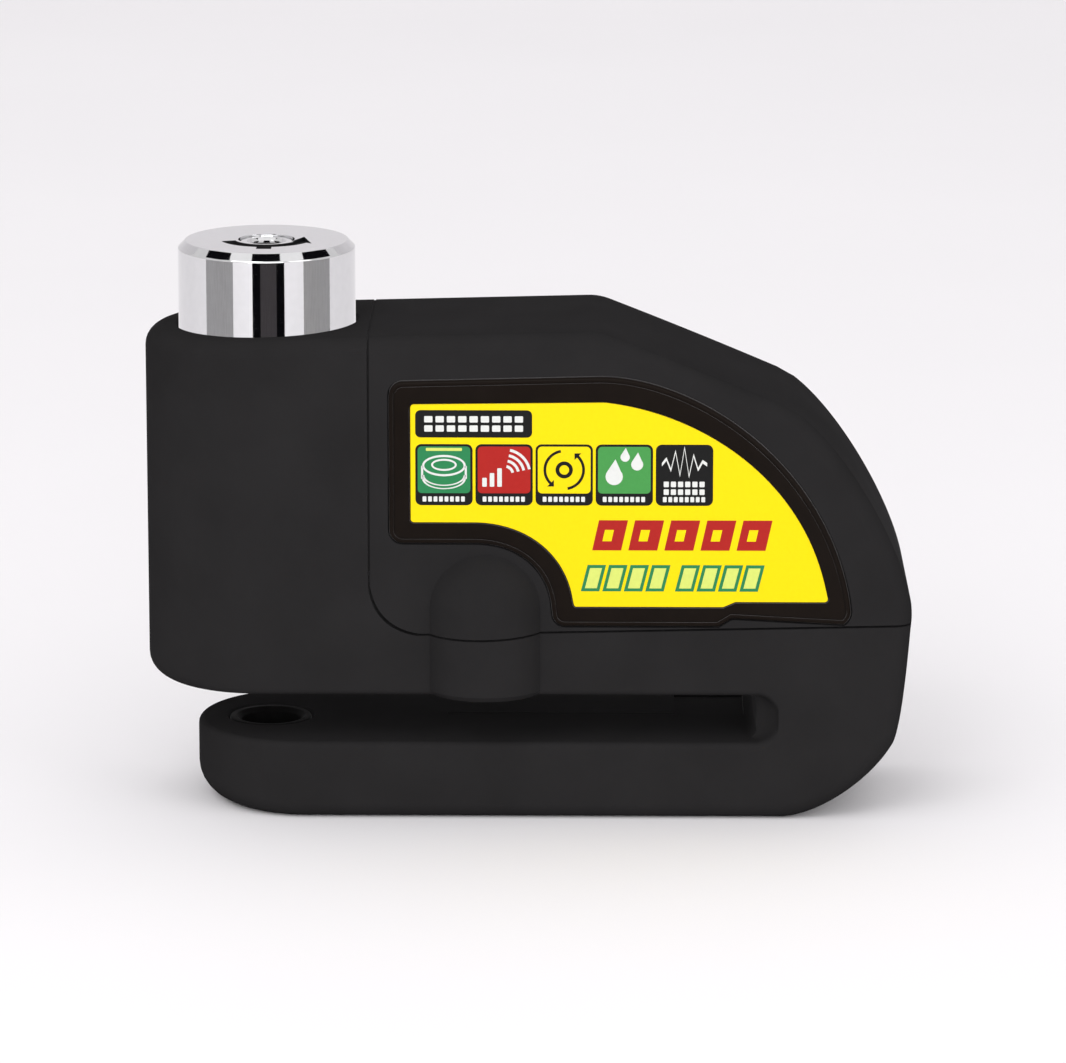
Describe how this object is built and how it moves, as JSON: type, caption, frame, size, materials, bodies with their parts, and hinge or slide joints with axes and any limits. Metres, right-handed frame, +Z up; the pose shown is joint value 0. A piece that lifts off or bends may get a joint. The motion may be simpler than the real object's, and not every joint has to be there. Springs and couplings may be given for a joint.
{
  "type": "brake disc lock",
  "caption": "Push-to-lock motorcycle brake disc lock with a chrome push cylinder, an open disc slot and a built-in alarm module.",
  "frame": {"origin": "under the middle of the bounding box, on the flat underside that the lock stands on", "axes": "+X along the lock from the jaw's open end to the alarm end, +Y from the label side to the siren side, +Z up"},
  "size_m": [0.103, 0.0342, 0.0764],
  "materials": {
    "black_paint": "satin",
    "chrome": "polished",
    "steel": "satin",
    "brass": "satin",
    "rubber": "matte",
    "bezel_plastic": "satin",
    "grey_plastic": "matte",
    "label_print": "satin",
    "board_resin": "satin",
    "ceramic": "matte",
    "copper": "satin",
    "red_wire": "satin",
    "black_wire": "satin"
  },
  "bodies": {
    "frame": {"lock_body": "black_paint", "alarm_housing": "black_paint", "label_bezel": "bezel_plastic", "label_sheet": "label_print", "housing_gasket": "rubber", "housing_screw_front": "steel", "housing_screw_rear": "steel", "threaded_insert_front": "brass", "threaded_insert_rear": "brass", "pin_bushing": "steel", "jaw_bushing": "steel", "barrel_seal": "rubber", "guide_screw": "steel", "return_spring": "steel", "module_chassis": "grey_plastic", "circuit_board": "board_resin", "board_screw_left": "steel", "board_screw_right": "steel", "controller_chip": "bezel_plastic", "shock_sensor": "steel", "reed_sensor": "ceramic", "step_up_coil": "copper", "capacitor": "bezel_plastic", "battery_sleeve": "grey_plastic", "battery_cap": "grey_plastic", "battery_spring": "steel", "battery_plate": "steel", "button_cell_1": "steel", "button_cell_2": "steel", "button_cell_3": "steel", "button_cell_4": "steel", "button_cell_5": "steel", "button_cell_6": "steel", "siren_cup": "bezel_plastic", "siren_diaphragm": "brass", "piezo_ceramic": "ceramic", "siren_mesh": "steel", "battery_wire_positive": "red_wire", "battery_wire_negative": "black_wire", "siren_wire_positive": "red_wire", "siren_wire_negative": "black_wire"},
    "push_cylinder": {"push_sleeve": "chrome", "cylinder_shell": "brass", "shell_pin": "steel", "pin_carrier": "steel", "lock_pin": "chrome", "carrier_pin": "steel", "switch_magnet": "steel"},
    "lock_core": {"core_plug": "chrome", "wafer_1": "brass", "wafer_2": "brass", "wafer_3": "brass", "wafer_4": "brass", "wafer_5": "brass", "core_clip": "steel", "cam_disc": "steel"},
    "latch": {"latch_bolt": "steel"}
  },
  "joints": [
    {"name": "plunger_press", "type": "slide", "parent": "frame", "child": "push_cylinder", "axis": [0, 0, -1], "range_m": [0, 0.011], "stiffness_N_per_m": 400, "springref_m": -0.012, "deforming": ["return_spring"]},
    {"name": "core_turn", "type": "hinge", "parent": "push_cylinder", "child": "lock_core", "pos_m": [-0.0351, 0.0021, 0.066], "axis": [0, 0, 1], "range_deg": [-90, 0]},
    {"name": "latch_slide", "type": "slide", "parent": "push_cylinder", "child": "latch", "axis": [-1, 0, 0], "range_m": [0, 0.0024]}
  ],
  "couplings": [
    {"joint": "core_turn", "follows": "latch_slide", "rad_per_m": -654.49}
  ]
}
